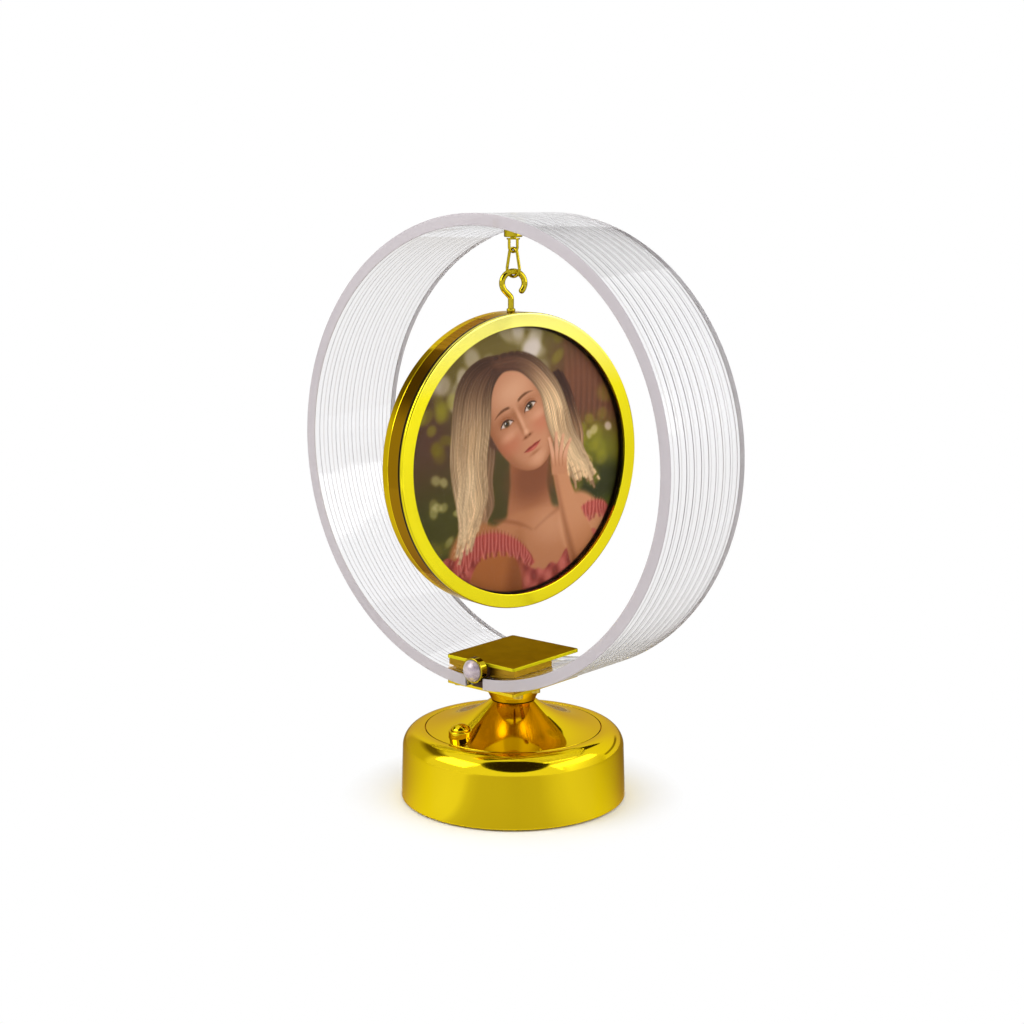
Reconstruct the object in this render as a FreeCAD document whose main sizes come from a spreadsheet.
"""Rotating motion lamp: a drum base whose motor turns a clear ring, with a round frame hung inside it.

All sizes are millimetres. The origin is the centre of the base's underside, +Z is up, X runs along
the plane of the ring and Y along the ring's axis, with the pearl button at the -Y side.
"""
import FreeCAD, Part
import math
import os
import re
import Sketcher

doc = FreeCAD.newDocument("rotating_motion_lamp")
sheet = doc.addObject("Spreadsheet::Sheet", "Sizes")
vector = FreeCAD.Vector

# Driving dimensions, one named value each
DRIVING = {
    # base, from the table up
    "pad_thickness": 1.0,
    "shell_lift": 0.5,
    "floor_thickness": 2.0,
    "bush_boss_height": 3.2,
    "bush_flange": 0.8,
    "bush_flange_radius": 6.5,
    "gear_gap": 0.4,
    "gear_face": 3.0,
    "chassis_gap": 1.1,
    "chassis_thickness": 1.5,
    "motor_height": 10.0,
    "motor_cap_height": 0.7,
    "motor_clearance": 0.5,
    "ledge_thickness": 1.6,
    "cap_rim_depth": 1.85,
    "base_foot_radius": 44.2,
    "drum_draft": 0.7,
    "shoulder_round": 7.5,
    "shell_wall": 2.0,
    "seam_inset": 1.44,
    "seam_gap": 0.35,
    "ledge_width": 2.6,
    "boss_radius": 2.7,
    "boss_cap_cover": 0.2,
    "ballast_side_gap": 0.2,
    "boss_inset": 5.8,
    "fit_gap": 0.05,
    "running_gap": 0.08,
    # screws of the base
    "floor_screw_radius": 1.15,
    "floor_screw_head": 2.2,
    "floor_screw_length": 7.0,
    "small_screw_radius": 1.0,
    "small_screw_head": 1.9,
    "small_head_height": 1.2,
    "thread_gap": 0.03,
    "post_radius": 3.0,
    "post_inset": 18.2,
    "chassis_screw_length": 6.0,
    # motor and gears
    "gear_module": 0.7,
    "gear_teeth": 50,
    "pinion_teeth": 14,
    "gear_hub_radius": 5.5,
    "gear_hub_height": 2.6,
    "pinion_margin": 0.2,
    "motor_radius": 11.5,
    "motor_shaft_radius": 1.0,
    "motor_nose_radius": 3.0,
    "motor_nose_height": 1.2,
    "motor_nose_gap": 0.2,
    "motor_cap_inset": 1.0,
    "shaft_overhang": 0.6,
    "gear_backlash": 0.12,
    "motor_shaft_seat": 4.5,
    "motor_screw_offset": 8.0,
    "motor_screw_depth": 2.2,
    "chassis_edge": 3.4,
    "chassis_hole_radius": 9.0,
    "ballast_height": 5.0,
    "ballast_gap": 0.6,
    "pinion_clearance": 1.4,
    # turning contacts
    "drum_radius": 6.2,
    "drum_height": 9.2,
    "contact_width": 2.0,
    "contact_pitch": 4.0,
    "contact_margin": 1.4,
    "contact_groove": 0.6,
    "contact_proud": 0.4,
    "brush_gap": 0.1,
    "brush_width": 2.0,
    "brush_thickness": 1.2,
    "brush_block_width": 10.0,
    "brush_block_depth": 5.0,
    "brush_block_distance": 9.6,
    # driver board
    "board_thickness": 1.6,
    "board_length": 19.0,
    "board_width": 20.0,
    "board_distance": 12.0,
    "pillar_height": 2.0,
    "pillar_radius": 2.0,
    "pillar_spacing": 15.0,
    "pillar_inset": 5.0,
    "board_margin": 1.0,
    "controller_size": 5.0,
    "controller_height": 1.5,
    "capacitor_radius": 2.6,
    "capacitor_height": 5.5,
    "terminal_size": 6.0,
    "terminal_height": 4.0,
    # inlet at the back of the base
    "jack_height": 12.6,
    "jack_flange_radius": 5.3,
    "jack_flange_thickness": 1.4,
    "jack_barrel_radius": 4.0,
    "jack_length": 12.2,
    "jack_bore_radius": 2.75,
    "jack_bore_depth": 9.6,
    "jack_pin_radius": 1.0,
    "jack_nut_flats": 11.0,
    "jack_nut_thickness": 2.0,
    "jack_seat_depth": 0.6,
    "jack_pad_depth": 2.2,
    "jack_hole_depth": 6.0,
    "jack_rim_gap": 0.2,
    "jack_pin_recess": 1.0,
    "jack_pad_width": 14.0,
    "jack_pad_height": 12.0,
    # trumpet cap and its button
    "cap_rise": 10.95,
    "cap_curve": 48.0,
    "cap_wall": 1.7,
    "cap_seat": 2.4,
    "waist_radius": 8.7,
    "neck_wall_radius": 8.0,
    "neck_bush_length": 7.7,
    "neck_bush_recess": 0.4,
    "neck_crown": 3.3,
    "upper_bush_radius": 5.0,
    "upper_flange_radius": 7.0,
    "upper_flange_height": 0.9,
    "cap_screw_radius": 0.9,
    "cap_screw_head": 1.6,
    "cap_screw_head_height": 1.0,
    "cap_screw_grip": 2.8,
    "button_inset": 8.16,
    "button_angle": -99.9,
    "bezel_radius": 4.6,
    "bezel_wall": 0.8,
    "bezel_top_above_base": 3.3,
    "bezel_height": 4.4,
    "button_gap": 0.1,
    "button_show": 0.7,
    "button_dome": 1.9,
    "button_travel": 1.2,
    "button_lip": 0.45,
    "button_lip_height": 0.8,
    "plunger_radius": 1.5,
    "plunger_length": 3.6,
    "switch_size": 7.0,
    "switch_height": 6.0,
    "switch_drop": 1.6,
    "switch_board_thickness": 1.4,
    "switch_board_half_length": 8.0,
    "switch_board_half_width": 3.6,
    "switch_post_radius": 1.4,
    "switch_post_spacing": 6.3,
    "switch_post_root": 0.3,
    "switch_screw_bite": 3.0,
    # turning neck
    "shaft_radius": 3.0,
    "shaft_bore_radius": 1.5,
    "thrust_gap": 0.1,
    "bush_floor": 0.4,
    "lower_bush_radius": 4.5,
    "bush_boss_radius": 7.0,
    "waist_gap": 0.4,
    "flare_height": 7.3,
    "flare_top_radius": 13.2,
    "flare_curve": 30.0,
    "grub_radius": 1.5,
    "grub_length": 4.5,
    "grub_height": 2.2,
    "flare_screw_offset": 8.0,
    "flare_screw_head": 2.3,
    "flare_screw_depth": 6.0,
    # clamp
    "plate_width": 34.0,
    "plate_depth": 40.0,
    "plate_thickness": 1.3,
    "plate_corner": 1.2,
    "plate_edge": 0.2,
    "saddle_height": 4.2,
    "saddle_margin": 0.5,
    "saddle_front": 1.0,
    "saddle_length": 22.5,
    "wedge_inner": 10.8,
    "clamp_screw_x": 15.0,
    "clamp_screw_front": 15.0,
    "clamp_screw_back": 4.5,
    "clamp_screw_radius": 1.0,
    "clamp_head_radius": 1.8,
    "clamp_head_height": 1.5,
    "clamp_thread_cover": 1.0,
    # ring
    "ring_outer_radius": 89.53,
    "ring_wall": 4.5,
    "ring_width": 46.6,
    "ring_edge": 0.35,
    "ring_half_gap": 4.4,
    "groove_count": 9,
    "groove_pitch": 4.55,
    "groove_width": 0.55,
    "groove_depth": 0.4,
    # light in the gap of the ring
    "carrier_half_width": 2.6,
    "carrier_cover": 0.2,
    "carrier_overhang": 0.8,
    "light_board_thickness": 0.5,
    "light_board_margin": 0.4,
    "chip_thickness": 0.8,
    "chip_length": 2.8,
    "chip_height": 2.4,
    "chip_count": 6,
    "chip_pitch": 6.4,
    # pearl button at the clamp's front
    "pearl_radius": 4.15,
    "pearl_dome": 2.2,
    "pearl_skirt": 1.7,
    "pearl_rise": 7.2,
    "pearl_bezel_wall": 0.65,
    "pearl_bezel_depth": 3.2,
    "pearl_bezel_floor": 1.0,
    "pearl_gap": 0.1,
    "pearl_show": 0.4,
    "pearl_travel": 0.8,
    "pearl_stem_radius": 1.0,
    "light_switch_half_width": 4.4,
    "light_switch_depth": 2.2,
    # hanger inside the top of the ring
    "hanger_radius": 3.5,
    "hanger_flange": 1.2,
    "hanger_seat": 0.08,
    "hanger_stud_radius": 1.4,
    "hanger_stud_height": 2.4,
    "hanger_cup_height": 3.3,
    "hanger_lip": 0.9,
    "hanger_cup_wall": 1.1,
    "hanger_round": 0.5,
    "swivel_post_radius": 1.15,
    "swivel_head_radius": 2.1,
    "swivel_head_height": 1.2,
    "swivel_gap": 0.2,
    "swivel_drop": 0.3,
    "swivel_collar_radius": 2.5,
    "swivel_collar_height": 0.6,
    "eye_radius": 1.8,
    "eye_wire_radius": 0.55,
    "eye_leg": 2.75,
    "eye_turn": 72.0,
    # link and hook
    "chain_gap": 0.2,
    "link_wire_radius": 0.58,
    "link_top_radius": 1.9,
    "link_bottom_radius": 3.0,
    "link_length": 10.6,
    "hook_wire_radius": 1.15,
    "hook_radius": 4.35,
    "hook_turn": 54.0,
    "hook_tip_angle": -41.0,
    "hook_curl_end": 225.0,
    "hook_bend_radius": 2.0,
    "hook_offset": 0.9,
    "hook_drop": 10.6,
    "hook_collar_radius": 1.65,
    "hook_collar_height": 1.1,
    # hanging frame, its face to local -Y
    "frame_radius": 56.6,
    "frame_depth": 12.7,
    "frame_turn": 78.1,
    "frame_shift": 0.52,
    "bezel_face_width": 5.4,
    "bezel_plate": 1.6,
    "bezel_reveal": 2.5,
    "frame_round": 0.7,
    "frame_groove": 0.45,
    "frame_groove_depth": 0.9,
    "frame_wall": 4.0,
    "back_depth": 3.95,
    "back_wall": 1.6,
    "back_spigot": 2.2,
    "cover_thickness": 1.0,
    "print_thickness": 0.3,
    "backing_thickness": 1.2,
    "disc_gap": 0.2,
    "hook_nut_flats": 3.8,
    "hook_nut_height": 2.0,
    "hook_nut_gap": 0.2,
    "shank_end_gap": 0.2,
}

# Sizes worked out from the driving ones
DERIVED = {
    "floor_top": "pad_thickness + floor_thickness",
    "boss_top": "floor_top + bush_boss_height",
    "gear_bottom": "boss_top + bush_flange + gear_gap",
    "gear_top": "gear_bottom + gear_face",
    "chassis_bottom": "gear_top + chassis_gap",
    "chassis_top": "chassis_bottom + chassis_thickness",
    "motor_top": "chassis_top + motor_height",
    "ledge_bottom": "motor_top + motor_cap_height + motor_clearance",
    "ledge_top": "ledge_bottom + ledge_thickness",
    "base_top": "ledge_top + cap_rim_depth",
    "drum_radius_top": "base_foot_radius - drum_draft",
    "pad_radius": "base_foot_radius - shell_wall - drum_draft / 2",
    "floor_radius": "base_foot_radius - shell_wall - 3 * fit_gap",
    "shoulder_start": "drum_radius_top - shoulder_round",
    "seam_radius": "shoulder_start - seam_inset",
    "opening_radius": "seam_radius + seam_gap / 2",
    "cap_radius": "seam_radius - seam_gap / 2",
    "ledge_radius": "opening_radius - ledge_width",
    "boss_circle": "base_foot_radius - boss_inset",
    "post_circle": "base_foot_radius - post_inset",
    "gear_radius": "gear_module * gear_teeth / 2",
    "pinion_radius": "gear_module * pinion_teeth / 2",
    "gear_distance": "gear_radius + pinion_radius",
    "ballast_inner": "post_circle + post_radius + ballast_gap",
    "ballast_outer": "boss_circle - boss_radius - ballast_side_gap",
    "chassis_radius": "post_circle + chassis_edge",
    "shaft_bottom": "floor_top + bush_floor + thrust_gap",
    "drum_bottom": "gear_top + gear_hub_height + fit_gap",
    "contact_first": "drum_bottom + contact_margin",
    "contact_inner": "drum_radius - contact_groove",
    "contact_outer": "drum_radius + contact_proud",
    "board_bottom": "chassis_top + pillar_height",
    "board_top": "board_bottom + board_thickness",
    "jack_seat": "drum_radius_top - jack_seat_depth",
    "jack_inner_seat": "jack_seat - jack_pad_depth",
    "cap_top": "base_top + cap_rise",
    "neck_bottom": "cap_top - neck_bush_length - neck_bush_recess",
    "flare_bottom": "cap_top + waist_gap",
    "flare_top": "flare_bottom + flare_height",
    "lower_plate_top": "flare_top + plate_thickness",
    "ring_inner_radius": "ring_outer_radius - ring_wall",
    "ring_centre": "lower_plate_top + ring_outer_radius",
    "strip_top": "lower_plate_top + ring_wall",
    "carrier_half_length": "plate_depth / 2 + carrier_overhang",
    "upper_plate_bottom": "strip_top + saddle_height",
    "saddle_half_width": "plate_width / 2 - saddle_margin",
    "saddle_start": "plate_depth / 2 - saddle_front",
    "button_circle": "seam_radius - button_inset",
    "button_x": "button_circle * cos(button_angle)",
    "button_y": "button_circle * sin(button_angle)",
    "bezel_top": "base_top + bezel_top_above_base",
    "bezel_bottom": "bezel_top - bezel_height",
    "button_radius": "bezel_radius - bezel_wall - button_gap",
    "button_bottom": "bezel_bottom - button_lip_height - button_gap",
    "switch_top": "button_bottom - switch_drop",
    "switch_bottom": "switch_top - switch_height",
    "switch_board_bottom": "switch_bottom - switch_board_thickness",
    "pearl_centre": "lower_plate_top + pearl_rise",
    "pearl_back": "saddle_start + light_switch_depth",
    "pearl_front": "pearl_back + pearl_bezel_depth",
    "hanger_top": "ring_centre + ring_inner_radius - hanger_seat",
    "hanger_flange_bottom": "hanger_top - hanger_flange",
    "hanger_cup_bottom": "hanger_flange_bottom - hanger_cup_height",
    "swivel_collar_bottom": "hanger_cup_bottom - swivel_drop - swivel_collar_height",
    "eye_centre": "swivel_collar_bottom - eye_leg",
    "eye_bottom": "eye_centre - eye_radius",
    "link_top": "eye_bottom + eye_wire_radius + link_wire_radius + chain_gap",
    "link_bottom": "link_top - link_length",
    "hook_top": "link_bottom + link_wire_radius + hook_wire_radius + chain_gap",
    "hook_centre": "hook_top - hook_radius",
    "frame_top": "hook_centre - hook_drop",
    "frame_centre": "frame_top - frame_radius",
    "frame_front": "-frame_depth / 2",
    "bezel_back": "frame_front + bezel_plate",
    "cover_front": "frame_front + bezel_reveal",
    "print_front": "cover_front + cover_thickness",
    "backing_front": "print_front + print_thickness",
    "back_seam": "frame_depth / 2 - back_depth",
    "frame_bore": "frame_radius - frame_wall",
    "disc_radius": "frame_bore - disc_gap",
    "shank_x": "-hook_offset * cos(hook_turn)",
    "shank_y": "-hook_offset * sin(hook_turn)",
    }

for row, (alias, value) in enumerate(list(DRIVING.items()) + list(DERIVED.items()), start=1):
    sheet.set(f"A{row}", alias)
    sheet.set(f"B{row}", f"={value}" if alias in DERIVED else str(value))
    sheet.setAlias(f"B{row}", alias)
doc.recompute()

SIZE_WORD = re.compile(r"[a-z][a-z_]*")
ROD_ALONG = {
    "Z": FreeCAD.Rotation(),
    "Y": FreeCAD.Rotation(vector(1, 0, 0), -90),
    "X": FreeCAD.Rotation(vector(0, 1, 0), 90),
}
NODES = []
# Gear teeth: pressure angle in degrees, and tip and root in modules
PRESSURE_ANGLE, TOOTH_TIP, TOOTH_ROOT = 20, 0.95, 1.2


def bound(text):
    """The expression with each size name pointed at its cell in the sheet."""
    named = DRIVING.keys() | DERIVED.keys()
    return SIZE_WORD.sub(lambda word: ("Sizes." if word.group() in named else "") + word.group(), text)


def number(text):
    """The present value of an expression in the size names."""
    return float(sheet.evalExpression(bound(text)))


def tie(piece, **properties):
    """Bind properties of a piece to expressions in the size names."""
    for name, text in properties.items():
        piece.setExpression(name, bound(text))


def place(piece, x="0", y="0", z="0", turn=None):
    """Bind a piece's position, and its turn about the upright axis, to expressions."""
    for axis, text in (("x", x), ("y", y), ("z", z)):
        if text != "0":
            piece.setExpression("Placement.Base." + axis, bound(text))
    if turn is not None:
        piece.setExpression("Placement.Rotation.Angle", bound(turn))
    return piece


def node(name, piece):
    """Label a finished piece, so that it is exported under that name."""
    piece.Label = name
    NODES.append(piece)
    return piece


def rod(name, radius, height, x="0", y="0", z="0", along="Z"):
    piece = doc.addObject("Part::Cylinder", name)
    piece.Placement.Rotation = ROD_ALONG[along]
    tie(piece, Radius=radius, Height=height)
    return place(piece, x, y, z)


def block(name, low, high):
    """A box between two corners, each given as three expressions."""
    piece = doc.addObject("Part::Box", name)
    sizes = [f"({top}) - ({bottom})" for bottom, top in zip(low, high)]
    tie(piece, Length=sizes[0], Width=sizes[1], Height=sizes[2])
    return place(piece, *low)


def together(name, pieces, kind="Part::MultiFuse"):
    joined = doc.addObject(kind, name)
    if kind == "Part::Compound":
        joined.Links = pieces
    else:
        joined.Shapes = pieces
    return joined


def group(name, pieces):
    return together(name, pieces, "Part::Compound")


def cut(name, base, tools):
    result = doc.addObject("Part::Cut", name)
    result.Base = base
    result.Tool = tools[0] if len(tools) == 1 else together(name + "_tools", tools)
    return result


def polar(radius, angle):
    """Expressions for the point at a radius and an angle in degrees."""
    return f"({radius}) * cos({angle})", f"({radius}) * sin({angle})"


def ring_of(count, first=0.0):
    """Angles of equally spaced copies on a circle."""
    return [first + index * 360 / count for index in range(count)]


def arc_between(start, end, radius, side):
    """A minor arc whose centre lies left (+1) or right (-1) of the way from start to end."""
    chord = end - start
    half = chord.Length / 2
    left = vector(-chord.y, chord.x, 0).normalize()
    centre = (start + end) / 2 + left * (side * math.sqrt(max(radius ** 2 - half ** 2, 0)))
    angles = [math.atan2(point.y - centre.y, point.x - centre.x) for point in (start, end)]
    if side < 0:
        angles.reverse()
    return Part.ArcOfCircle(Part.Circle(centre, vector(0, 0, 1), radius), *angles)


def turned(name, corners, along="Z", x="0", y="0", z="0", turn=None):
    """A body of revolution about its own Z or Y axis.

    corners lists the profile's points in order as expressions: (radius, height) about Z and
    (distance along, radius) about Y. Two more values, a radius and a side, make the stretch
    that arrives at a point an arc, with its centre left (1) or right (-1) of the way there.
    """
    body = doc.addObject("PartDesign::Body", name)
    profile = body.newObject("Sketcher::SketchObject", name + "_profile")
    role = "XZ_Plane" if along == "Z" else "YZ_Plane"
    plane = next(item for item in body.Origin.OriginFeatures if item.Role == role)
    profile.AttachmentSupport = [(plane, "")]
    profile.MapMode = "FlatFace"
    points = [vector(number(corner[0]), number(corner[1]), 0) for corner in corners]
    ends = []
    for index, corner in enumerate(corners):
        start, end = points[index - 1], points[index]
        if len(corner) == 4:
            side = corner[3]
            edge = profile.addGeometry(arc_between(start, end, number(corner[2]), side))
            ends.append((edge, 1 if side > 0 else 2, 2 if side > 0 else 1))
            radius = profile.addConstraint(Sketcher.Constraint("Radius", edge, number(corner[2])))
            profile.setExpression(f"Constraints[{radius}]", bound(corner[2]))
        else:
            ends.append((profile.addGeometry(Part.LineSegment(start, end)), 1, 2))
    for index, corner in enumerate(corners):
        edge, _, finish = ends[index]
        following, begin, _ = ends[(index + 1) % len(corners)]
        profile.addConstraint(Sketcher.Constraint("Coincident", edge, finish, following, begin))
        for kind, text, value, axis in (("DistanceX", corner[0], points[index].x, -2),
                                        ("DistanceY", corner[1], points[index].y, -1)):
            if text == "0":
                profile.addConstraint(Sketcher.Constraint("PointOnObject", edge, finish, axis))
            else:
                line = profile.addConstraint(Sketcher.Constraint(kind, -1, 1, edge, finish, value))
                profile.setExpression(f"Constraints[{line}]", bound(text))
    revolved = body.newObject("PartDesign::Revolution", name + "_turned")
    revolved.Profile = profile
    revolved.ReferenceAxis = (profile, ["V_Axis" if along == "Z" else "H_Axis"])
    revolved.Angle = 360
    return place(body, x, y, z, turn)


def tube(name, inner, outer, bottom, top, **where):
    """A plain ring between two radii and two heights."""
    return turned(name, [(inner, bottom), (outer, bottom), (outer, top), (inner, top)], **where)


def disc(name, radius, low, high, **where):
    """A plain disc about its Y axis."""
    return turned(name, [(low, "0"), (low, radius), (high, radius), (high, "0")], along="Y", **where)


def upright_screw(name, x, y, seat, head, head_height, shank, length, head_below=True):
    """A screw whose head sits under (or on) a seat and whose shank goes up (or down) from it."""
    head_z = f"({seat}) - ({head_height})" if head_below else seat
    shank_z = head_z if head_below else f"({seat}) - ({length})"
    return together(name, [
        rod(name + "_head", head, head_height, x, y, head_z),
        rod(name + "_shank", shank, f"({length}) + ({head_height})", x, y, shank_z),
    ])


def hexagon(name, flats, height, along, x, y, z):
    """A hexagonal prism measured across its flats."""
    piece = doc.addObject("Part::Prism", name)
    piece.Polygon = 6
    piece.Placement.Rotation = ROD_ALONG[along]
    tie(piece, Circumradius=f"({flats}) / 2 / cos(30)", Height=height)
    return place(piece, x, y, z)


def bent_wire(name, radius, edges, turn):
    """Round wire along a path of lines and arcs in the XZ plane, turned about the upright axis."""
    path = Part.Wire(edges)
    first = edges[0]
    start = first.valueAt(first.FirstParameter)
    section = Part.Wire(Part.Circle(start, first.tangentAt(first.FirstParameter), radius).toShape())
    piece = doc.addObject("Part::Feature", name)
    piece.Shape = path.makePipeShell([section], True, False)
    piece.Placement = FreeCAD.Placement(vector(), FreeCAD.Rotation(vector(0, 0, 1), turn))
    return piece


def arc_edge(centre_x, centre_z, radius, first, last):
    """An arc in the XZ plane between two angles in degrees, taken in that order."""
    points = []
    for angle in (first, (first + last) / 2, last):
        spot = math.radians(angle)
        points.append(vector(centre_x + radius * math.cos(spot), 0, centre_z + radius * math.sin(spot)))
    return Part.Arc(*points).toShape()


def gear_blank(teeth, module, phase, backlash, height, z, x, bore):
    """A spur gear: involute flanks, thinned by the backlash, one tooth at the phase angle."""
    pitch = module * teeth / 2
    base = pitch * math.cos(math.radians(PRESSURE_ANGLE))
    tip, root = pitch + TOOTH_TIP * module, pitch - TOOTH_ROOT * module
    roll_at = lambda radius: math.tan(math.acos(base / radius)) - math.acos(base / radius)
    half_tooth = math.pi / (2 * teeth) - backlash / (2 * pitch) + roll_at(pitch)
    start = max(base, root) * 1.0001
    steps = 5
    flank = []
    for step in range(steps):
        radius = start + (tip - start) * step / (steps - 1)
        flank.append((radius, half_tooth - roll_at(radius)))
    outline = []
    for tooth in range(teeth):
        middle = math.radians(phase) + 2 * math.pi * tooth / teeth
        side = [(root, -flank[0][1])] + [(radius, -angle) for radius, angle in flank]
        side += [(radius, angle) for radius, angle in reversed(flank)] + [(root, flank[0][1])]
        outline += [(radius, middle + angle) for radius, angle in side]
    points = [vector(x + radius * math.cos(angle), radius * math.sin(angle), z) for radius, angle in outline]
    face = Part.Face(Part.makePolygon(points + points[:1]))
    hole = Part.makeCylinder(bore, height, vector(x, 0, z))
    return face.extrude(vector(0, 0, height)).cut(hole)


def shape_piece(name, shape):
    piece = doc.addObject("Part::Feature", name)
    piece.Shape = shape
    return piece


# Base: pad, floor, drum shell and weight
def make_base():
    node("base_pad", rod("base_pad", "pad_radius", "pad_thickness"))

    floor_screw_spots = [polar("boss_circle", angle) for angle in ring_of(4, 45)]
    post_spots = [polar("post_circle", angle) for angle in ring_of(3, 60)]
    floor = [
        rod("floor_disc", "floor_radius", "floor_thickness", z="pad_thickness"),
        rod("floor_boss", "bush_boss_radius", "bush_boss_height", z="floor_top"),
    ]
    floor += [rod(f"floor_post_{index}", "post_radius", "chassis_bottom - floor_top", x, y, "floor_top")
              for index, (x, y) in enumerate(post_spots)]
    holes = [rod("bush_seat", "lower_bush_radius + fit_gap", "bush_boss_height", z="shaft_bottom - thrust_gap")]
    holes += [rod(f"post_hole_{index}", "small_screw_radius + thread_gap", "chassis_screw_length + thread_gap",
                  x, y, "chassis_bottom - chassis_screw_length + chassis_thickness")
              for index, (x, y) in enumerate(post_spots)]
    for index, (x, y) in enumerate(floor_screw_spots):
        holes.append(rod(f"floor_hole_{index}", "floor_screw_radius + thread_gap", "floor_thickness",
                         x, y, "pad_thickness"))
        holes.append(rod(f"floor_sink_{index}", "floor_screw_head + fit_gap", "small_head_height",
                         x, y, "pad_thickness"))
    node("base_floor", cut("base_floor", together("floor_solid", floor), holes))

    screws = [upright_screw(f"floor_screw_{index}", x, y, "pad_thickness + small_head_height",
                            "floor_screw_head", "small_head_height - fit_gap", "floor_screw_radius",
                            "floor_screw_length")
              for index, (x, y) in enumerate(floor_screw_spots)]
    node("floor_screws", group("floor_screws", screws))

    drum = turned("drum", [
        ("base_foot_radius - shell_wall", "shell_lift"),
        ("base_foot_radius", "shell_lift"),
        ("drum_radius_top", "base_top - shoulder_round"),
        ("shoulder_start", "base_top", "shoulder_round", 1),
        ("opening_radius", "base_top"),
        ("opening_radius", "ledge_top"),
        ("ledge_radius", "ledge_top"),
        ("ledge_radius", "ledge_bottom"),
        ("shoulder_start", "ledge_bottom"),
        ("drum_radius_top - shell_wall", "base_top - shoulder_round", "shoulder_round - shell_wall", -1),
    ])
    solid = [drum]
    solid += [rod(f"shell_boss_{index}", "boss_radius", "ledge_bottom + boss_cap_cover - floor_top - fit_gap",
                  x, y, "floor_top + fit_gap")
              for index, (x, y) in enumerate(floor_screw_spots)]
    solid.append(block("jack_pad",
                       ("-jack_pad_width / 2", "jack_inner_seat", "jack_height - jack_pad_height / 2"),
                       ("jack_pad_width / 2", "drum_radius_top - shell_wall / 2", "jack_height + jack_pad_height / 2")))
    holes = [rod(f"shell_hole_{index}", "floor_screw_radius + thread_gap", "floor_screw_length", x, y, "floor_top")
             for index, (x, y) in enumerate(floor_screw_spots)]
    holes.append(rod("jack_hole", "jack_barrel_radius + fit_gap", "jack_hole_depth",
                     "0", "jack_inner_seat - fit_gap", "jack_height", "Y"))
    holes.append(rod("jack_spotface", "jack_flange_radius + jack_rim_gap", "shell_wall",
                     "0", "jack_seat", "jack_height", "Y"))
    holes += [rod(f"ledge_hole_{index}", "cap_screw_radius + fit_gap", "ledge_thickness + fit_gap",
                  *polar("(ledge_radius + cap_radius) / 2", angle), "ledge_bottom")
              for index, angle in enumerate(ring_of(3, 90))]
    node("base_shell", cut("base_shell", together("shell_solid", solid), holes))

    weight = tube("ballast_tube", "ballast_inner", "ballast_outer", "floor_top", "floor_top + ballast_height")
    pinion_room = rod("pinion_room", "pinion_radius + gear_module + pinion_clearance", "ballast_height",
                      "gear_distance", z="floor_top")
    node("ballast_ring", cut("ballast_ring", weight, [pinion_room]))


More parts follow.
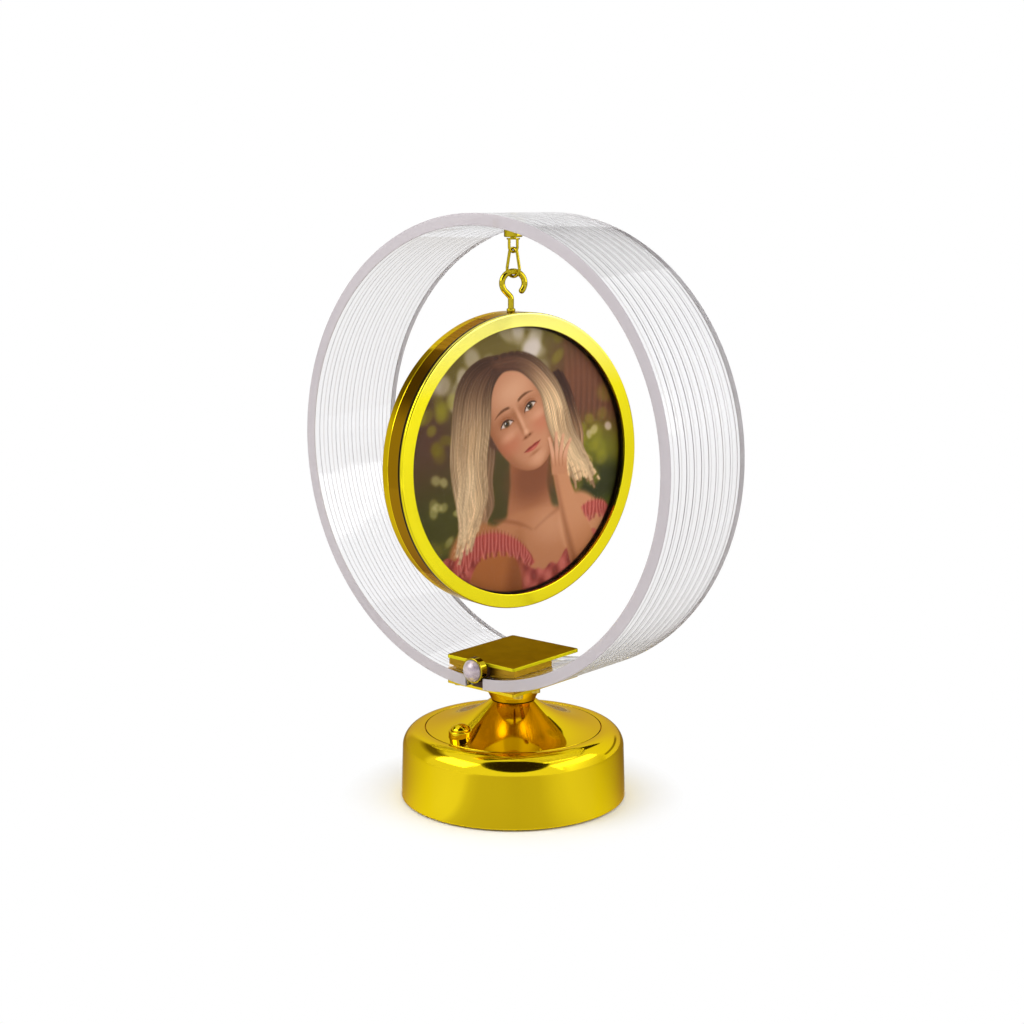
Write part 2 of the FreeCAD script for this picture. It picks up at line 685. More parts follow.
# Drive: bushes, chassis, motor, pinion and gear
def make_drive():
    node("lower_bush", turned("lower_bush", [
        ("shaft_radius + running_gap", "shaft_bottom - thrust_gap"),
        ("lower_bush_radius", "shaft_bottom - thrust_gap"),
        ("lower_bush_radius", "boss_top"),
        ("bush_flange_radius", "boss_top"),
        ("bush_flange_radius", "boss_top + bush_flange"),
        ("shaft_radius + running_gap", "boss_top + bush_flange"),
    ]))

    post_spots = [polar("post_circle", angle) for angle in ring_of(3, 60)]
    motor_screw_spots = [("gear_distance", "motor_screw_offset"), ("gear_distance", "-motor_screw_offset")]
    pillar_x = "-board_distance - board_length + pillar_inset + pillar_radius"
    pillar_spots = [(pillar_x, f"pillar_spacing * {side}") for side in (-0.5, 0.5)]
    plate = [rod("chassis_disc", "chassis_radius", "chassis_thickness", z="chassis_bottom")]
    plate += [rod(f"board_pillar_{index}", "pillar_radius", "pillar_height", x, y, "chassis_top")
              for index, (x, y) in enumerate(pillar_spots)]
    holes = [
        rod("chassis_centre_hole", "chassis_hole_radius", "chassis_thickness", z="chassis_bottom"),
        rod("motor_nose_hole", "motor_nose_radius + motor_nose_gap", "chassis_thickness", "gear_distance",
            z="chassis_bottom"),
    ]
    for index, (x, y) in enumerate(post_spots + motor_screw_spots):
        holes.append(rod(f"chassis_hole_{index}", "small_screw_radius + fit_gap", "chassis_thickness",
                         x, y, "chassis_bottom"))
    for index, (x, y) in enumerate(pillar_spots):
        holes.append(rod(f"pillar_hole_{index}", "small_screw_radius + thread_gap",
                         "pillar_height + chassis_thickness", x, y, "chassis_bottom"))
    node("chassis_plate", cut("chassis_plate", together("chassis_solid", plate), holes))
    node("chassis_screws", group("chassis_screws", [
        upright_screw(f"chassis_screw_{index}", x, y, "chassis_top", "small_screw_head", "small_head_height",
                      "small_screw_radius", "chassis_screw_length", head_below=False)
        for index, (x, y) in enumerate(post_spots)]))

    can = [
        rod("can_body", "motor_radius", "motor_height", "gear_distance", z="chassis_top"),
        rod("can_nose", "motor_nose_radius", "motor_nose_height", "gear_distance",
            z="chassis_top - motor_nose_height"),
    ]
    can_holes = [rod("can_bore", "motor_shaft_radius + running_gap", "motor_nose_height + motor_shaft_seat + fit_gap",
                     "gear_distance", z="chassis_top - motor_nose_height")]
    can_holes += [rod(f"can_thread_{index}", "small_screw_radius + thread_gap", "motor_screw_depth",
                      x, y, "chassis_top") for index, (x, y) in enumerate(motor_screw_spots)]
    node("motor_can", cut("motor_can", together("can_solid", can), can_holes))
    node("motor_end_cap", rod("motor_end_cap", "motor_radius - motor_cap_inset", "motor_cap_height",
                              "gear_distance", z="motor_top"))
    node("motor_screws", group("motor_screws", [
        upright_screw(f"motor_screw_{index}", x, y, "chassis_bottom", "small_screw_head", "chassis_gap - fit_gap",
                      "small_screw_radius", "chassis_thickness + motor_screw_depth - fit_gap")
        for index, (x, y) in enumerate(motor_screw_spots)]))
    node("motor_shaft", rod("motor_shaft", "motor_shaft_radius",
                            "chassis_top + motor_shaft_seat - gear_bottom + shaft_overhang",
                            "gear_distance", z="gear_bottom - shaft_overhang"))

    backlash = number("gear_backlash")
    gear = gear_blank(int(number("gear_teeth")), number("gear_module"), 0, backlash, number("gear_face"),
                      number("gear_bottom"), 0, number("shaft_radius + fit_gap / 2"))
    hub = Part.makeCylinder(number("gear_hub_radius"), number("gear_hub_height"), vector(0, 0, number("gear_top")))
    bore = Part.makeCylinder(number("shaft_radius + fit_gap / 2"), number("gear_hub_height"),
                             vector(0, 0, number("gear_top")))
    node("drive_gear", shape_piece("drive_gear", gear.fuse(hub.cut(bore)).removeSplitter()))
    teeth = int(number("pinion_teeth"))
    gap_faces_gear = 180 - 180 / teeth
    pinion = gear_blank(teeth, number("gear_module"), gap_faces_gear, backlash,
                        number("gear_face + 2 * pinion_margin"), number("gear_bottom - pinion_margin"),
                        number("gear_distance"), number("motor_shaft_radius + thread_gap"))
    node("motor_pinion", shape_piece("motor_pinion", pinion))


# Current for the lit ring: turning contacts, brushes, driver board and inlet
def make_electrics():
    first, second = "contact_first", "contact_first + contact_pitch"
    rims = [("shaft_radius + fit_gap / 2", "drum_bottom"), ("drum_radius", "drum_bottom")]
    for low in (first, second):
        rims += [("drum_radius", low), ("contact_inner", low),
                 ("contact_inner", f"{low} + contact_width"), ("drum_radius", f"{low} + contact_width")]
    rims += [("drum_radius", "drum_bottom + drum_height"), ("shaft_radius + fit_gap / 2", "drum_bottom + drum_height")]
    node("slip_drum", turned("slip_drum", rims))
    node("contact_rings", group("contact_rings", [
        tube(f"contact_ring_{index}", "contact_inner + thread_gap", "contact_outer", f"{low} + thread_gap",
             f"{low} + contact_width - thread_gap") for index, low in enumerate((first, second))]))

    node("brush_block", block("brush_block",
                              ("-brush_block_width / 2", "brush_block_distance", "chassis_top"),
                              ("brush_block_width / 2", "brush_block_distance + brush_block_depth",
                               "drum_bottom + drum_height")))
    brushes = []
    for index, low in enumerate((first, second)):
        middle = f"{low} + contact_width / 2"
        brushes.append(block(f"contact_brush_{index}",
                             ("-brush_width / 2", "contact_outer + brush_gap", f"{middle} - brush_thickness / 2"),
                             ("brush_width / 2", "brush_block_distance", f"{middle} + brush_thickness / 2")))
    node("contact_brushes", group("contact_brushes", brushes))

    pillar_x = "-board_distance - board_length + pillar_inset + pillar_radius"
    pillar_spots = [(pillar_x, f"pillar_spacing * {side}") for side in (-0.5, 0.5)]
    board = block("board_blank",
                  ("-board_distance - board_length", "-board_width / 2", "board_bottom"),
                  ("-board_distance", "board_width / 2", "board_top"))
    holes = [rod(f"board_hole_{index}", "small_screw_radius + fit_gap", "board_thickness", x, y, "board_bottom")
             for index, (x, y) in enumerate(pillar_spots)]
    node("driver_board", cut("driver_board", board, holes))
    node("board_screws", group("board_screws", [
        upright_screw(f"board_screw_{index}", x, y, "board_top", "small_screw_head", "small_head_height",
                      "small_screw_radius", "board_thickness + pillar_height", head_below=False)
        for index, (x, y) in enumerate(pillar_spots)]))
    near, far = "-board_distance - board_margin", "board_width / 2 - board_margin"
    middle = "-board_distance - board_length / 2"
    chip = block("controller_chip",
                 (f"{middle} - controller_size / 2", "-controller_size / 2", "board_top"),
                 (f"{middle} + controller_size / 2", "controller_size / 2", "board_top + controller_height"))
    capacitor = rod("smoothing_capacitor", "capacitor_radius", "capacitor_height",
                    f"{near} - capacitor_radius", f"{far} - capacitor_radius", "board_top")
    terminal = block("terminal_block", (f"{near} - terminal_size", f"-({far})", "board_top"),
                     (near, f"terminal_size - ({far})", "board_top + terminal_height"))
    node("board_parts", group("board_parts", [chip, capacitor, terminal]))

    jack_end = "jack_seat - jack_length"
    jack = together("jack_solid", [
        rod("jack_flange", "jack_flange_radius", "jack_flange_thickness", "0", "jack_seat", "jack_height", "Y"),
        rod("jack_barrel", "jack_barrel_radius", "jack_length", "0", jack_end, "jack_height", "Y"),
    ])
    bore = rod("jack_bore", "jack_bore_radius", "jack_bore_depth + fit_gap",
               "0", "jack_seat + jack_flange_thickness - jack_bore_depth", "jack_height", "Y")
    pin = rod("jack_pin", "jack_pin_radius", "jack_bore_depth - jack_pin_recess",
              "0", "jack_seat + jack_flange_thickness - jack_bore_depth", "jack_height", "Y")
    node("dc_inlet", together("dc_inlet", [cut("jack_hollow", jack, [bore]), pin]))
    nut = hexagon("jack_nut_blank", "jack_nut_flats", "jack_nut_thickness", "Y",
                  "0", "jack_inner_seat - jack_nut_thickness", "jack_height")
    node("inlet_nut", cut("inlet_nut", nut, [
        rod("jack_nut_hole", "jack_barrel_radius + fit_gap", "jack_nut_thickness",
            "0", "jack_inner_seat - jack_nut_thickness", "jack_height", "Y")]))


# Trumpet cap with its push button
def make_cap():
    post_spots = [(f"button_x + switch_post_spacing * {side}", "button_y") for side in (-1, 1)]
    shell = turned("cap_shell", [
        ("cap_radius", "ledge_top"),
        ("cap_radius", "base_top"),
        ("waist_radius", "cap_top", "cap_curve", -1),
        ("upper_bush_radius", "cap_top"),
        ("upper_bush_radius", "neck_bottom"),
        ("neck_wall_radius", "neck_bottom"),
        ("neck_wall_radius", "cap_top - neck_crown"),
        ("waist_radius + cap_wall", "cap_top - neck_crown"),
        ("cap_radius - cap_seat", "ledge_top", "cap_curve", 1),
    ])
    posts = [rod(f"switch_post_{index}", "switch_post_radius", "base_top + switch_post_root - switch_bottom",
                 x, y, "switch_bottom") for index, (x, y) in enumerate(post_spots)]
    holes = [rod("bezel_hole", "bezel_radius + fit_gap", "cap_rise", "button_x", "button_y", "ledge_top")]
    holes += [rod(f"post_thread_{index}", "small_screw_radius + thread_gap", "switch_height",
                  x, y, "switch_bottom") for index, (x, y) in enumerate(post_spots)]
    holes += [rod(f"cap_thread_{index}", "cap_screw_radius + thread_gap", "cap_screw_grip - ledge_thickness + thread_gap",
                  *polar("(ledge_radius + cap_radius) / 2", angle), "ledge_top")
              for index, angle in enumerate(ring_of(3, 90))]
    node("trumpet_cap", cut("trumpet_cap", together("cap_solid", [shell] + posts), holes))
    node("cap_screws", group("cap_screws", [
        upright_screw(f"cap_screw_{index}", *polar("(ledge_radius + cap_radius) / 2", angle), "ledge_bottom",
                      "cap_screw_head", "cap_screw_head_height", "cap_screw_radius", "cap_screw_grip")
        for index, angle in enumerate(ring_of(3, 90))]))
    node("upper_bush", turned("upper_bush", [
        ("shaft_radius + running_gap", "neck_bottom - upper_flange_height"),
        ("upper_flange_radius", "neck_bottom - upper_flange_height"),
        ("upper_flange_radius", "neck_bottom"),
        ("upper_bush_radius - fit_gap / 2", "neck_bottom"),
        ("upper_bush_radius - fit_gap / 2", "neck_bottom + neck_bush_length"),
        ("shaft_radius + running_gap", "neck_bottom + neck_bush_length"),
    ]))

    bore = "bezel_radius - bezel_wall"
    node("button_bezel", turned("button_bezel", [
        (bore, "bezel_bottom"),
        ("bezel_radius", "bezel_bottom"),
        ("bezel_radius", "bezel_top - bezel_wall / 2"),
        ("bezel_radius - bezel_wall / 2", "bezel_top", "bezel_wall / 2", 1),
        (bore, "bezel_top"),
    ], x="button_x", y="button_y"))
    dome_radius = "(button_radius ^ 2 + button_dome ^ 2) / (2 * button_dome)"
    lip = "button_radius + button_lip"
    node("power_button", turned("power_button", [
        ("0", "button_bottom"),
        (lip, "button_bottom"),
        (lip, "button_bottom + button_lip_height"),
        ("button_radius", "button_bottom + button_lip_height"),
        ("button_radius", "bezel_top + button_show"),
        ("0", "bezel_top + button_show + button_dome", dome_radius, 1),
    ], x="button_x", y="button_y"))
    node("switch_plunger", rod("switch_plunger", "plunger_radius", "plunger_length",
                               "button_x", "button_y", "button_bottom - plunger_length"))
    body = block("switch_blank",
                 ("button_x - switch_size / 2", "button_y - switch_size / 2", "switch_bottom"),
                 ("button_x + switch_size / 2", "button_y + switch_size / 2", "switch_top"))
    well = rod("switch_well", "plunger_radius + button_gap", "plunger_length + button_travel",
               "button_x", "button_y", "button_bottom - plunger_length - button_travel - button_gap")
    node("push_switch", cut("push_switch", body, [well]))
    board = block("switch_board_blank",
                  ("button_x - switch_board_half_length", "button_y - switch_board_half_width", "switch_board_bottom"),
                  ("button_x + switch_board_half_length", "button_y + switch_board_half_width", "switch_bottom"))
    holes = [rod(f"switch_board_hole_{index}", "small_screw_radius + fit_gap", "switch_board_thickness",
                 x, y, "switch_board_bottom") for index, (x, y) in enumerate(post_spots)]
    node("switch_board", cut("switch_board", board, holes))
    node("switch_screws", group("switch_screws", [
        upright_screw(f"switch_screw_{index}", x, y, "switch_board_bottom", "switch_post_radius",
                      "small_head_height", "small_screw_radius", "switch_board_thickness + switch_screw_bite")
        for index, (x, y) in enumerate(post_spots)]))


# Turning neck and the clamp that holds the ring
def make_neck():
    node("rotor_shaft", tube("rotor_shaft", "shaft_bore_radius", "shaft_radius", "shaft_bottom", "lower_plate_top"))
    flare = turned("flare_solid", [
        ("shaft_radius + fit_gap / 2", "flare_bottom"),
        ("waist_radius", "flare_bottom"),
        ("flare_top_radius", "flare_top", "flare_curve", -1),
        ("shaft_radius + fit_gap / 2", "flare_top"),
    ])
    grub_spot = ("0", "shaft_radius + fit_gap", "flare_bottom + grub_height")
    screw_spots = [("flare_screw_offset", "0"), ("-flare_screw_offset", "0")]
    holes = [rod("grub_hole", "grub_radius + thread_gap", "flare_top_radius", *grub_spot, "Y")]
    holes += [rod(f"flare_hole_{index}", "small_screw_radius + thread_gap", "flare_screw_depth",
                  x, y, "flare_top - flare_screw_depth") for index, (x, y) in enumerate(screw_spots)]
    node("neck_flare", cut("neck_flare", flare, holes))
    node("neck_grub_screw", rod("neck_grub_screw", "grub_radius", "grub_length", *grub_spot, "Y"))

    clamp_spots = [(f"clamp_screw_x * {side}", f"-{row}") for side in (-1, 1)
                   for row in ("clamp_screw_front", "clamp_screw_back")]
    plate = plate_body("lower_plate_blank", "flare_top")
    holes = [rod("plate_shaft_hole", "shaft_radius + fit_gap / 2", "plate_thickness", z="flare_top")]
    holes += [rod(f"plate_hole_{index}", "clamp_screw_radius + fit_gap", "plate_thickness", x, y, "flare_top")
              for index, (x, y) in enumerate(clamp_spots)]
    holes += [rod(f"plate_sink_{index}", "flare_screw_head + thread_gap", "plate_thickness - plate_edge",
                  x, y, "flare_top + plate_edge") for index, (x, y) in enumerate(screw_spots)]
    holes += [rod(f"plate_screw_hole_{index}", "small_screw_radius + thread_gap", "plate_thickness",
                  x, y, "flare_top") for index, (x, y) in enumerate(screw_spots)]
    node("lower_plate", cut("lower_plate", plate, holes))
    node("flare_screws", group("flare_screws", [
        upright_screw(f"flare_screw_{index}", x, y, "flare_top + plate_edge", "flare_screw_head",
                      "plate_thickness - plate_edge", "small_screw_radius", "plate_edge + flare_screw_depth",
                      head_below=False) for index, (x, y) in enumerate(screw_spots)]))
    node("upper_plate", plate_body("upper_plate", "upper_plate_bottom"))

    outside = rod("ring_outside", "ring_outer_radius + thread_gap", "plate_depth",
                  "0", "-plate_depth / 2", "ring_centre", "Y")
    wedge_holes = [rod(f"wedge_hole_{index}", "clamp_screw_radius + fit_gap", "ring_wall", x, y, "lower_plate_top")
                   for index, (x, y) in enumerate(clamp_spots)]
    wedges = []
    for side, low, high in (("left", "-plate_width / 2", "-wedge_inner"), ("right", "wedge_inner", "plate_width / 2")):
        wedges.append(block(f"wedge_{side}", (low, "-plate_depth / 2", "lower_plate_top"),
                            (high, "plate_depth / 2", "lower_plate_top + ring_wall")))
    node("lower_wedges", cut("lower_wedges", group("wedge_blocks", wedges), [outside] + wedge_holes))

    inside = rod("ring_inside", "ring_inner_radius - thread_gap", "saddle_length",
                 "0", "-saddle_start", "ring_centre", "Y")
    blank = block("saddle_blank", ("-saddle_half_width", "-saddle_start", "lower_plate_top"),
                  ("saddle_half_width", "-saddle_start + saddle_length", "upper_plate_bottom"))
    saddle = doc.addObject("Part::Common", "saddle_curve")
    saddle.Base = blank
    saddle.Tool = inside
    thread_top = "upper_plate_bottom - clamp_thread_cover"
    node("upper_saddle", cut("upper_saddle", saddle, [
        rod(f"saddle_hole_{index}", "clamp_screw_radius + thread_gap", f"{thread_top} - lower_plate_top",
            x, y, "lower_plate_top") for index, (x, y) in enumerate(clamp_spots)]))
    node("clamp_screws", group("clamp_screws", [
        upright_screw(f"clamp_screw_{index}", x, y, "flare_top", "clamp_head_radius", "clamp_head_height",
                      "clamp_screw_radius", f"{thread_top} - flare_top - fit_gap")
        for index, (x, y) in enumerate(clamp_spots)]))


def plate_body(name, bottom):
    """A flat clamp plate with rounded corners and a slightly broken top edge."""
    body = doc.addObject("PartDesign::Body", name)
    outline = body.newObject("Sketcher::SketchObject", name + "_outline")
    plane = next(item for item in body.Origin.OriginFeatures if item.Role == "XY_Plane")
    outline.AttachmentSupport = [(plane, "")]
    outline.MapMode = "FlatFace"
    half_width, half_depth = number("plate_width / 2"), number("plate_depth / 2")
    corners = [(-half_width, -half_depth), (half_width, -half_depth),
               (half_width, half_depth), (-half_width, half_depth)]
    words = [("-plate_width / 2", "-plate_depth / 2"), ("plate_width / 2", "-plate_depth / 2"),
             ("plate_width / 2", "plate_depth / 2"), ("-plate_width / 2", "plate_depth / 2")]
    for index in range(4):
        outline.addGeometry(Part.LineSegment(vector(*corners[index - 1]), vector(*corners[index])))
    for index in range(4):
        outline.addConstraint(Sketcher.Constraint("Coincident", index, 2, (index + 1) % 4, 1))
        for kind, value, text in zip(("DistanceX", "DistanceY"), corners[index], words[index]):
            line = outline.addConstraint(Sketcher.Constraint(kind, -1, 1, index, 2, value))
            outline.setExpression(f"Constraints[{line}]", bound(text))
    pad = body.newObject("PartDesign::Pad", name + "_pad")
    pad.Profile = outline
    tie(pad, Length="plate_thickness")
    doc.recompute()
    upright = [f"Edge{index + 1}" for index, edge in enumerate(pad.Shape.Edges)
               if abs(edge.tangentAt(edge.FirstParameter).z) > 0.9]
    rounded = body.newObject("PartDesign::Fillet", name + "_corners")
    rounded.Base = (pad, upright)
    tie(rounded, Radius="plate_corner")
    doc.recompute()
    top = max(edge.BoundBox.ZMax for edge in rounded.Shape.Edges)
    rim = [f"Edge{index + 1}" for index, edge in enumerate(rounded.Shape.Edges)
           if edge.BoundBox.ZMin > top - 1e-4]
    broken = body.newObject("PartDesign::Chamfer", name + "_edge")
    broken.Base = (rounded, rim)
    tie(broken, Size="plate_edge")
    return place(body, z=bottom)


# Clear ring with its engraved lines, and the light between its ends
def make_ring():
    half = "ring_width / 2"
    outer, inner, edge = "ring_outer_radius", "ring_inner_radius", "ring_edge"
    profile = [(f"-{half}", f"{inner} + {edge}"), (f"-{half}", f"{outer} - {edge}"), (f"-{half} + {edge}", outer)]
    count = int(number("groove_count"))
    for index in range(count):
        middle = f"groove_pitch * {index - (count - 1) / 2}"
        profile += [(f"{middle} - groove_width / 2", outer), (middle, f"{outer} - groove_depth"),
                    (f"{middle} + groove_width / 2", outer)]
    profile += [(f"{half} - {edge}", outer), (half, f"{outer} - {edge}"), (half, f"{inner} + {edge}"),
                (f"{half} - {edge}", inner), (f"-{half} + {edge}", inner)]
    strip = turned("ring_strip", profile, along="Y", z="ring_centre")
    clamp_spots = [(f"clamp_screw_x * {side}", f"-{row}") for side in (-1, 1)
                   for row in ("clamp_screw_front", "clamp_screw_back")]
    cuts = [block("ring_gap", ("-ring_half_gap", "-ring_width", "lower_plate_top - ring_wall"),
                  ("ring_half_gap", "ring_width", "strip_top + ring_wall"))]
    cuts += [rod(f"ring_hole_{index}", "clamp_screw_radius + fit_gap", "ring_wall * 2", x, y, "lower_plate_top")
             for index, (x, y) in enumerate(clamp_spots)]
    cuts.append(rod("hanger_socket", "hanger_stud_radius + fit_gap",
                    "hanger_stud_height + hanger_flange + fit_gap", z="hanger_flange_bottom + hanger_seat"))
    node("acrylic_ring", cut("acrylic_ring", strip, cuts))

    carrier = block("carrier_blank", ("-carrier_half_width", "-carrier_half_length", "lower_plate_top"),
                    ("carrier_half_width", "carrier_half_length", "strip_top - carrier_cover"))
    wire_hole = rod("wire_hole", "shaft_bore_radius", "ring_wall / 2", z="lower_plate_top")
    node("light_carrier", cut("light_carrier", carrier, [wire_hole]))
    boards, chips = [], []
    face = "carrier_half_width + light_board_thickness"
    middle = "(lower_plate_top + strip_top - carrier_cover) / 2"
    count = int(number("chip_count"))
    for side, name in ((-1, "left"), (1, "right")):
        across = sorted([f"carrier_half_width * {side}", f"({face}) * {side}"], key=number)
        boards.append(block(f"light_board_{name}",
                            (across[0], "-carrier_half_length + light_board_margin", "lower_plate_top + light_board_margin"),
                            (across[1], "carrier_half_length - light_board_margin",
                             "strip_top - carrier_cover - light_board_margin")))
        across = sorted([f"({face}) * {side}", f"({face} + chip_thickness) * {side}"], key=number)
        for index in range(count):
            centre = f"chip_pitch * {index - (count - 1) / 2}"
            chips.append(block(f"light_chip_{name}_{index}",
                               (across[0], f"{centre} - chip_length / 2", f"{middle} - chip_height / 2"),
                               (across[1], f"{centre} + chip_length / 2", f"{middle} + chip_height / 2")))
    node("light_boards", group("light_boards", boards))
    node("light_chips", group("light_chips", chips))


# Pearl button at the front of the clamp
def make_pearl():
    outer = "pearl_radius + pearl_gap + pearl_bezel_wall"
    bore = "pearl_radius + pearl_gap"
    front, back = "-pearl_front", "-pearl_back"
    floor = "-pearl_back - pearl_bezel_floor"
    lip = "pearl_bezel_wall / 2"
    body = block("light_switch_blank",
                 ("-light_switch_half_width", back, "strip_top + carrier_cover + fit_gap"),
                 ("light_switch_half_width", "-saddle_start", "upper_plate_bottom - fit_gap"))
    well = rod("light_switch_well", "pearl_stem_radius + pearl_gap", "light_switch_depth - pearl_gap * 2",
               "0", back, "pearl_centre", "Y")
    node("light_switch", cut("light_switch", body, [well]))
    node("pearl_bezel", turned("pearl_bezel", [
        (front, bore),
        (front, f"({outer}) - {lip}"),
        (f"{front} + {lip}", outer, lip, -1),
        (back, outer),
        (back, "pearl_stem_radius + pearl_gap"),
        (floor, "pearl_stem_radius + pearl_gap"),
        (floor, bore),
    ], along="Y", z="pearl_centre"))
    face = "-pearl_front - pearl_show"
    dome_radius = "(pearl_radius ^ 2 + pearl_dome ^ 2) / (2 * pearl_dome)"
    node("pearl_button", turned("pearl_button", [
        (f"{face} - pearl_dome", "0"),
        (face, "pearl_radius", dome_radius, -1),
        (f"{face} + pearl_skirt", "pearl_radius"),
        (f"{face} + pearl_skirt", "pearl_stem_radius"),
        (f"{back} + light_switch_depth - pearl_travel - pearl_gap * 3", "pearl_stem_radius"),
        (f"{back} + light_switch_depth - pearl_travel - pearl_gap * 3", "0"),
    ], along="Y", z="pearl_centre"))


# Hanger, swivelling eye, link and hook
def make_chain():
    node("hanger_mount", turned("hanger_mount", [
        ("0", "hanger_flange_bottom"),
        ("hanger_radius", "hanger_flange_bottom"),
        ("hanger_radius", "hanger_top"),
        ("hanger_stud_radius", "hanger_top"),
        ("hanger_stud_radius", "hanger_top + hanger_stud_height"),
        ("0", "hanger_top + hanger_stud_height"),
    ]))
    lip_top = "hanger_cup_bottom + hanger_lip"
    neck = "swivel_post_radius + running_gap"
    node("hanger_cup", turned("hanger_cup", [
        (neck, "hanger_cup_bottom"),
        ("hanger_radius - hanger_round", "hanger_cup_bottom"),
        ("hanger_radius", "hanger_cup_bottom + hanger_round", "hanger_round", 1),
        ("hanger_radius", "hanger_flange_bottom"),
        ("hanger_radius - hanger_cup_wall", "hanger_flange_bottom"),
        ("hanger_radius - hanger_cup_wall", lip_top),
        (neck, lip_top),
    ]))

    head_bottom = f"{lip_top} + swivel_gap"
    collar_top = "swivel_collar_bottom + swivel_collar_height"
    post = turned("swivel_post", [
        ("0", "swivel_collar_bottom"),
        ("swivel_collar_radius", "swivel_collar_bottom"),
        ("swivel_collar_radius", collar_top),
        ("swivel_post_radius", collar_top),
        ("swivel_post_radius", head_bottom),
        ("swivel_head_radius", head_bottom),
        ("swivel_head_radius", f"{head_bottom} + swivel_head_height"),
        ("0", f"{head_bottom} + swivel_head_height"),
    ])
    eye_radius, eye_centre = number("eye_radius"), number("eye_centre")
    leg_top = number("swivel_collar_bottom + swivel_collar_height / 2")
    left = [vector(-eye_radius, 0, leg_top), vector(-eye_radius, 0, eye_centre)]
    right = [vector(eye_radius, 0, eye_centre), vector(eye_radius, 0, leg_top)]
    eye = bent_wire("eye_wire", number("eye_wire_radius"), [
        Part.LineSegment(*left).toShape(),
        arc_edge(0, eye_centre, eye_radius, 180, 360),
        Part.LineSegment(*right).toShape(),
    ], number("eye_turn"))
    node("swivel_eye", together("swivel_eye", [post, eye]))

    top, bottom = number("link_top_radius"), number("link_bottom_radius")
    top_z, bottom_z = number("link_top") - top, number("link_bottom") + bottom
    lean = math.degrees(math.asin((bottom - top) / (top_z - bottom_z)))
    upper = arc_edge(0, top_z, top, lean, 180 - lean)
    lower = arc_edge(0, bottom_z, bottom, 180 - lean, 360 + lean)
    ends = [edge.valueAt(edge.LastParameter) for edge in (upper, lower)]
    starts = [edge.valueAt(edge.FirstParameter) for edge in (upper, lower)]
    half_path = [upper, Part.LineSegment(ends[0], starts[1]).toShape(), lower]
    closing = Part.LineSegment(ends[1], starts[0]).toShape()
    node("chain_link", bent_wire("chain_link", number("link_wire_radius"), half_path + [closing], 0))

    radius, bend, centre = number("hook_radius"), number("hook_bend_radius"), number("hook_centre")
    offset = -number("hook_offset")
    arc = arc_edge(0, centre, radius, number("hook_tip_angle"), number("hook_curl_end"))
    slope = math.sqrt(0.5)
    start = vector(-radius * slope, 0, centre - radius * slope)
    bend_start_x = offset - bend * (1 - slope)
    bend_start = vector(bend_start_x, 0, start.z - (bend_start_x - start.x))
    bend_end = vector(offset, 0, bend_start.z - bend * slope)
    bend_centre = vector(offset - bend, 0, bend_end.z)
    nut_bottom = "frame_centre + frame_bore - hook_nut_height - hook_nut_gap"
    shank_end = vector(offset, 0, number(f"{nut_bottom} - shank_end_gap"))
    wire = bent_wire("hook_wire", number("hook_wire_radius"), [
        arc,
        Part.LineSegment(start, bend_start).toShape(),
        arc_edge(bend_centre.x, bend_centre.z, bend, 45, 0),
        Part.LineSegment(bend_end, shank_end).toShape(),
    ], number("hook_turn"))
    collar = rod("hook_collar", "hook_collar_radius", "hook_collar_height",
                 "shank_x", "shank_y", "frame_top + fit_gap")
    node("hook", together("hook", [wire, collar]))


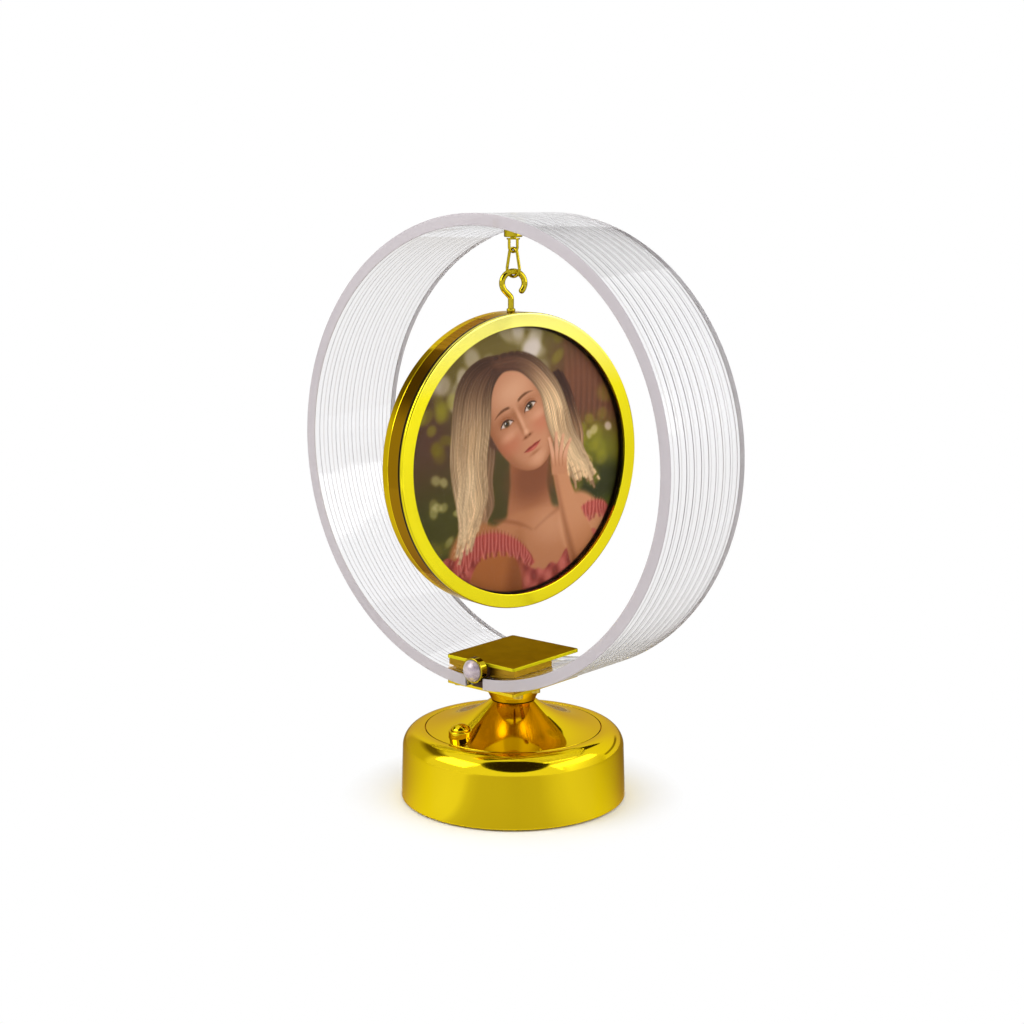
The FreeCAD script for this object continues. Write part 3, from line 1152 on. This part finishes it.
# Round hanging frame, modelled facing -Y about its own centre, then turned and hung
def make_frame():
    shift = ("frame_shift * sin(frame_turn)", "-frame_shift * cos(frame_turn)")
    where = {"x": shift[0], "y": shift[1], "z": "frame_centre", "turn": "frame_turn"}
    opening = "frame_radius - bezel_face_width"
    soft = "frame_round"
    node("front_bezel", turned("front_bezel", [
        ("bezel_back", "frame_radius - frame_groove_depth"),
        ("bezel_back", "frame_radius"),
        (f"frame_front + {soft}", "frame_radius"),
        ("frame_front", f"frame_radius - {soft}", soft, 1),
        ("frame_front", f"{opening} + {soft}"),
        (f"frame_front + {soft}", opening, soft, 1),
        ("cover_front", opening),
        ("cover_front", "disc_radius"),
        ("bezel_back", "disc_radius"),
    ], along="Y", **where))
    middle = turned("frame_middle", [
        ("bezel_back", "frame_bore"),
        ("bezel_back", "frame_radius - frame_groove_depth"),
        ("bezel_back + frame_groove", "frame_radius - frame_groove_depth"),
        ("bezel_back + frame_groove", "frame_radius"),
        ("back_seam", "frame_radius"),
        ("back_seam", "frame_radius - back_wall - fit_gap"),
        ("back_seam + back_spigot", "frame_radius - back_wall - fit_gap"),
        ("back_seam + back_spigot", "frame_bore"),
    ], along="Y", **where)
    shank_hole = rod("shank_hole", "hook_wire_radius + fit_gap", "frame_wall * 2",
                     "shank_x", "shank_y",
                     "frame_top - frame_wall * 1.5")
    node("frame_body", cut("frame_body", middle, [shank_hole]))
    back = "frame_depth / 2"
    node("back_cover", turned("back_cover", [
        (back, "0"),
        (f"{back} - back_wall", "0"),
        (f"{back} - back_wall", "frame_radius - back_wall"),
        ("back_seam", "frame_radius - back_wall"),
        ("back_seam", f"frame_radius - {soft} / 2"),
        (f"back_seam + {soft} / 2", "frame_radius"),
        (f"{back} - {soft}", "frame_radius"),
        (back, f"frame_radius - {soft}", soft, -1),
    ], along="Y", **where))
    node("clear_cover", disc("clear_cover", "disc_radius", "cover_front", "print_front", **where))
    node("print_disc", disc("print_disc", "disc_radius", "print_front", "backing_front", **where))
    node("backing_disc", disc("backing_disc", "disc_radius", "backing_front", "backing_front + backing_thickness",
                              **where))

    nut_bottom = "frame_centre + frame_bore - hook_nut_height - hook_nut_gap"
    spot = ("shank_x", "shank_y", nut_bottom)
    nut = hexagon("hook_nut_blank", "hook_nut_flats", "hook_nut_height", "Z", *spot)
    node("hook_nut", cut("hook_nut", nut, [rod("hook_nut_hole", "hook_wire_radius + thread_gap", "hook_nut_height",
                                               *spot)]))


def check_and_export():
    """Stop on any failed feature or bad shape, then write one file per node."""
    doc.recompute()
    for item in doc.Objects:
        faults = [state for state in item.State if state in ("Invalid", "Error")]
        if faults:
            raise RuntimeError(f"{item.Name} is {faults}")
    for piece in NODES:
        shape = piece.Shape
        if shape.isNull() or not shape.isValid() or not shape.Solids:
            raise RuntimeError(f"{piece.Label} has no valid solid")
    os.makedirs("parts", exist_ok=True)
    for piece in NODES:
        piece.Shape.exportStep(f"parts/{piece.Label}.step")
        box = piece.Shape.BoundBox
        print(f"{piece.Label:18s} solids {len(piece.Shape.Solids):2d} volume {piece.Shape.Volume:10.1f}"
              f"  x {box.XMin:7.1f} {box.XMax:7.1f}  y {box.YMin:7.1f} {box.YMax:7.1f}  z {box.ZMin:6.1f} {box.ZMax:6.1f}")
    print(len(NODES), "nodes")


make_base()
make_drive()
make_electrics()
make_cap()
make_neck()
make_ring()
make_pearl()
make_chain()
make_frame()
check_and_export()
